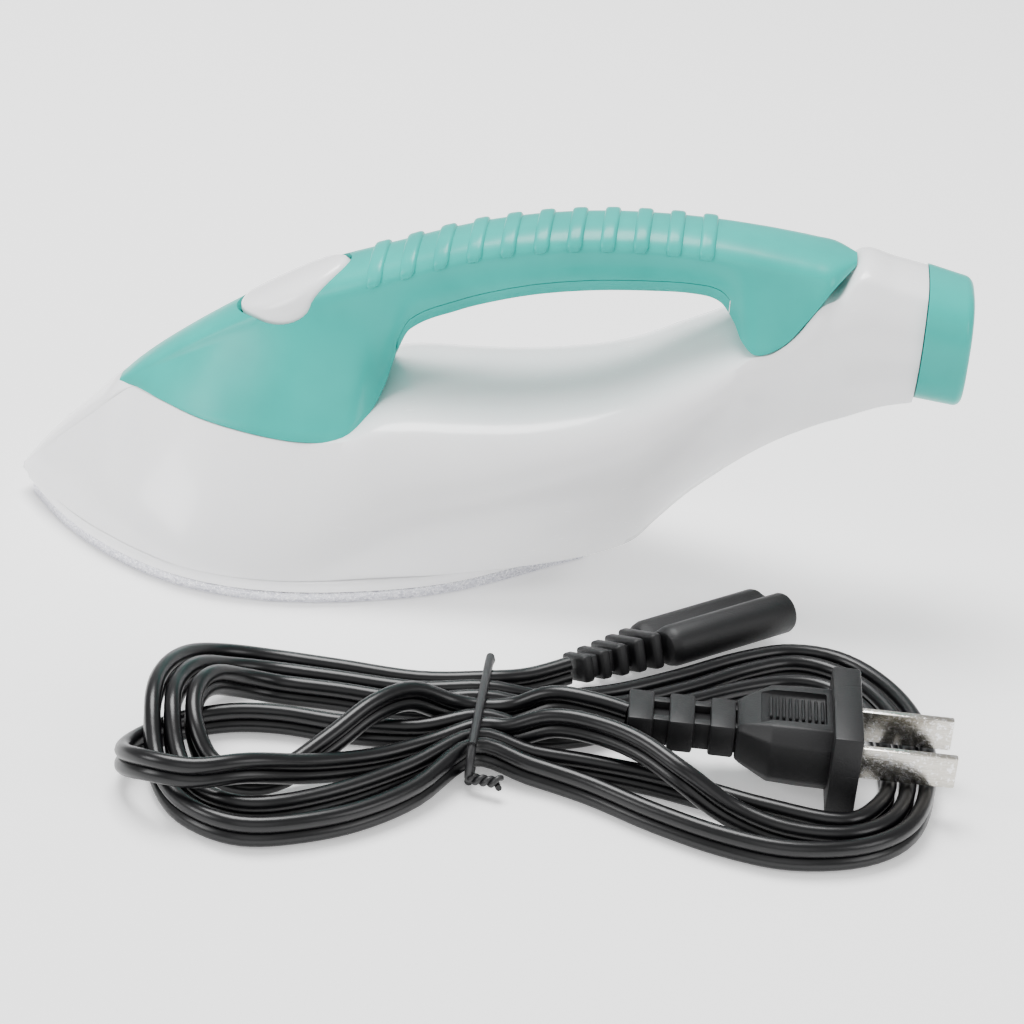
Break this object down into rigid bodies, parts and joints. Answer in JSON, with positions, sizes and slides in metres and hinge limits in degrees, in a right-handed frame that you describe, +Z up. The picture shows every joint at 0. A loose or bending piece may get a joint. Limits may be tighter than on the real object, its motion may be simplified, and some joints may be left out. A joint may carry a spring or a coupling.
{
  "type": "small electric hand iron",
  "caption": "Small electric hand iron with a leaf-shaped sole, an arched ridged handle, a thumb button and a detachable flat mains lead.",
  "frame": {"origin": "middle of the iron's outer box in plan, on the sole face it rests on (the lead is not counted)", "axes": "+X from the nose to the inlet cap, +Y across, +Z up from the sole"},
  "size_m": [0.1872, 0.1533, 0.0757],
  "materials": {
    "sole_metal": "polished cast aluminium with fine scratches",
    "element_steel": "heat-tinted drawn tube",
    "terminal_metal": "plain brass",
    "plated_steel": "zinc plated sheet",
    "white_shell": "glossy moulded",
    "screw_steel": "zinc plated",
    "teal_shell": "satin moulded",
    "white_button": "glossy moulded",
    "spring_steel": "drawn wire",
    "black_moulding": "moulded",
    "red_moulding": "moulded",
    "ceramic": "unglazed steatite",
    "wire_brown": "extruded insulation",
    "wire_black": "extruded insulation",
    "wire_blue": "extruded insulation",
    "wire_sleeve": "woven glass sleeving",
    "pin_metal": "nickel plated brass",
    "lead_rubber": "fine-grained soft moulding",
    "lead_sheath": "smooth extruded sheath",
    "tie_coating": "plastic-coated wire"
  },
  "bodies": {
    "iron": {"soleplate": "sole_metal", "heating_element": "element_steel", "element_terminals": "terminal_metal", "heat_shield": "plated_steel", "sole_skirt": "white_shell", "shield_screws": "screw_steel", "body_shell": "white_shell", "body_screw": "screw_steel", "handle_top_shell": "teal_shell", "handle_lower_shell": "teal_shell", "handle_screws": "screw_steel", "button_hinge_pin": "screw_steel", "switch_bracket": "black_moulding", "switch_body": "black_moulding", "switch_terminals": "terminal_metal", "thermostat_base": "ceramic", "thermostat_blades": "terminal_metal", "thermal_fuse": "ceramic", "fuse_clamp": "plated_steel", "wire_live": "wire_brown", "wire_switched": "wire_black", "wire_neutral": "wire_blue", "wire_fused": "wire_sleeve", "wire_heater": "wire_sleeve", "end_cap": "teal_shell", "inlet_socket": "black_moulding", "inlet_pins": "pin_metal", "button_spring": "spring_steel"},
    "button": {"power_button": "white_button"},
    "plunger": {"switch_plunger": "red_moulding"},
    "power_lead": {"lead_connector": "lead_rubber", "connector_sockets": "terminal_metal", "lead_cord": "lead_sheath", "plug_body": "lead_rubber", "plug_blades": "pin_metal", "twist_tie": "tie_coating"}
  },
  "joints": [
    {"name": "button_press", "type": "hinge", "parent": "iron", "child": "button", "pos_m": [-0.0486, 0, 0.0408], "axis": [0, 1, 0], "range_deg": [0, 4], "stiffness_Nm_per_rad": 0.4, "deforming": ["button_spring"]},
    {"name": "plunger_travel", "type": "slide", "parent": "iron", "child": "plunger", "axis": [0, 0, -1], "range_m": [0, 0.0011]},
    {"name": "lead_lift", "type": "slide", "parent": "iron", "child": "power_lead", "axis": [0, 0, 1], "range_m": [0, 0.08]}
  ],
  "couplings": [
    {"joint": "plunger_travel", "follows": "button_press", "m_per_rad": 0.01563}
  ]
}
